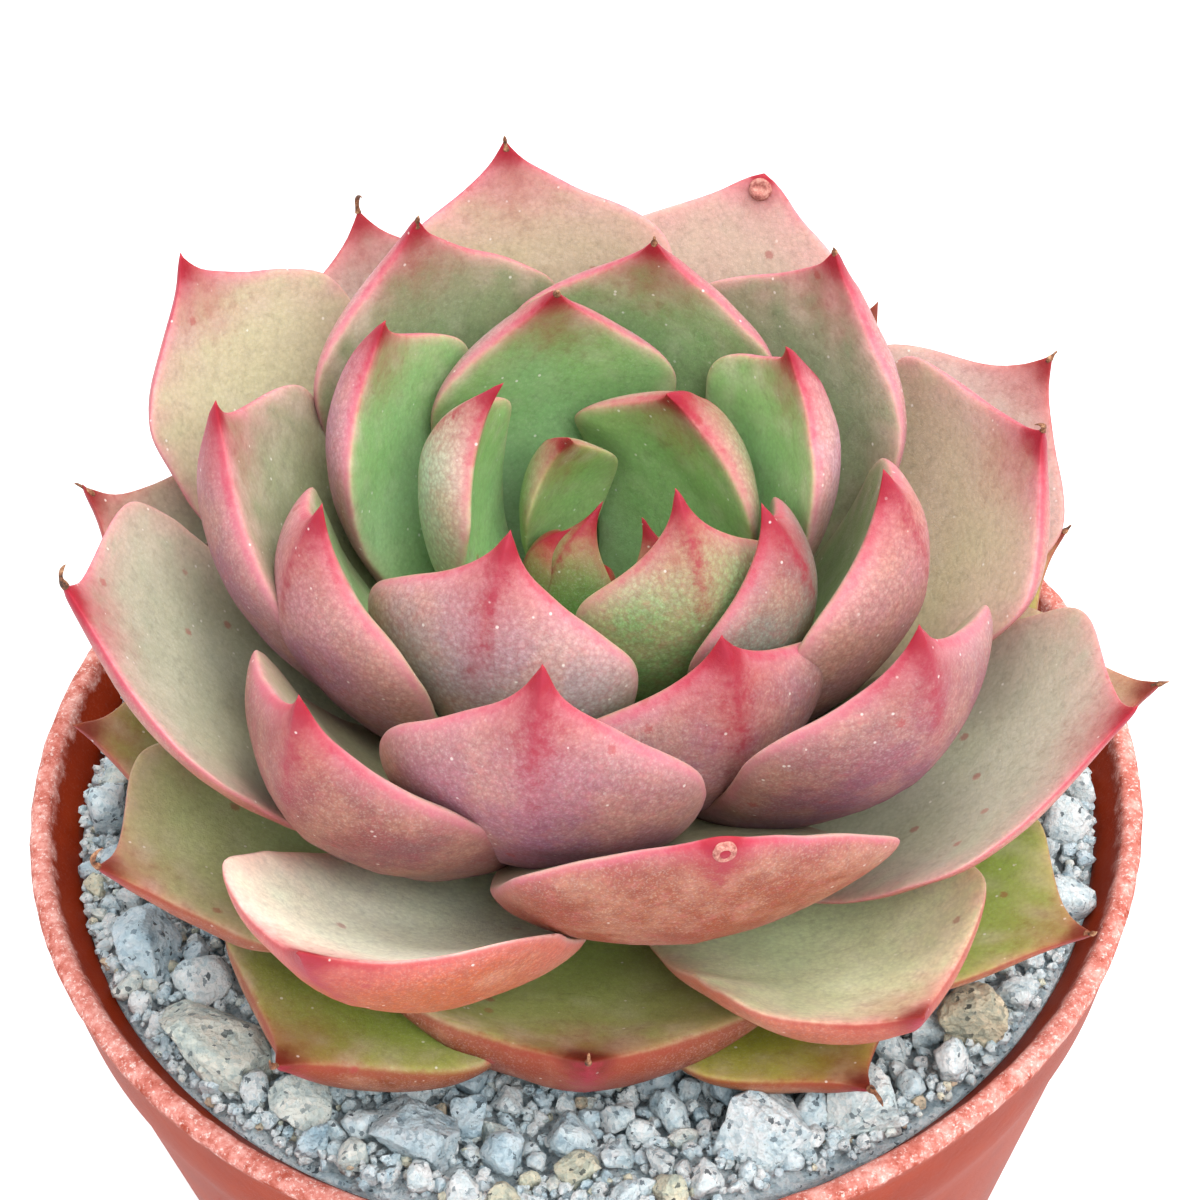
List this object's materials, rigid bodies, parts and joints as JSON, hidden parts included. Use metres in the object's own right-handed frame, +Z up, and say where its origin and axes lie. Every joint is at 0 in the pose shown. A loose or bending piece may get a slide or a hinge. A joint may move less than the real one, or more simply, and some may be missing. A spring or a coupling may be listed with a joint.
{
  "type": "potted succulent",
  "caption": "Rosette succulent with thick, pointed, red-edged leaves in a tapered terracotta-coloured plastic nursery pot topped with pale granite grit.",
  "frame": {"origin": "centre of the pot's flat base", "axes": "+Z up out of the pot; -Y is the side normally looked at; +X to the right seen from there"},
  "size_m": [0.09, 0.09, 0.1176],
  "materials": {
    "pot_plastic": "satin moulded plastic, scuffed rim",
    "potting_mix": "crumbly peat and bark",
    "grit": "rough broken granite",
    "stem": "fleshy",
    "young_leaf": "waxy bloom",
    "mature_leaf": "waxy bloom",
    "old_leaf": "waxy bloom"
  },
  "bodies": {
    "root": {"pot": "pot_plastic", "potting_mix": "potting_mix", "grit_layer": "grit", "tan_stone": "grit", "blue_stone": "grit", "round_stone": "grit", "grey_stone": "grit", "granite_stone": "grit", "white_stone": "grit", "rusty_stone": "grit", "stem": "stem", "leaf_01": "young_leaf", "leaf_02": "young_leaf", "leaf_03": "young_leaf", "leaf_04": "young_leaf", "leaf_05": "young_leaf", "leaf_06": "young_leaf", "leaf_07": "young_leaf", "leaf_08": "young_leaf", "leaf_09": "young_leaf", "leaf_10": "young_leaf", "leaf_11": "young_leaf", "leaf_12": "young_leaf", "leaf_13": "young_leaf", "leaf_14": "young_leaf", "leaf_15": "young_leaf", "leaf_16": "young_leaf", "leaf_17": "mature_leaf", "leaf_18": "mature_leaf", "leaf_19": "mature_leaf", "leaf_20": "mature_leaf", "leaf_21": "mature_leaf", "leaf_22": "mature_leaf", "leaf_23": "mature_leaf", "leaf_24": "mature_leaf", "leaf_25": "mature_leaf", "leaf_26": "mature_leaf", "leaf_27": "mature_leaf", "leaf_28": "mature_leaf", "leaf_29": "mature_leaf", "leaf_30": "mature_leaf", "leaf_31": "mature_leaf", "leaf_32": "mature_leaf", "leaf_33": "mature_leaf", "leaf_34": "mature_leaf", "leaf_35": "mature_leaf", "leaf_36": "mature_leaf", "leaf_37": "old_leaf", "leaf_38": "old_leaf", "leaf_39": "old_leaf", "leaf_40": "old_leaf", "leaf_41": "old_leaf", "leaf_42": "old_leaf", "leaf_43": "old_leaf", "leaf_44": "old_leaf", "leaf_45": "old_leaf", "leaf_46": "old_leaf", "leaf_47": "old_leaf", "leaf_48": "old_leaf"}
  },
  "joints": []
}
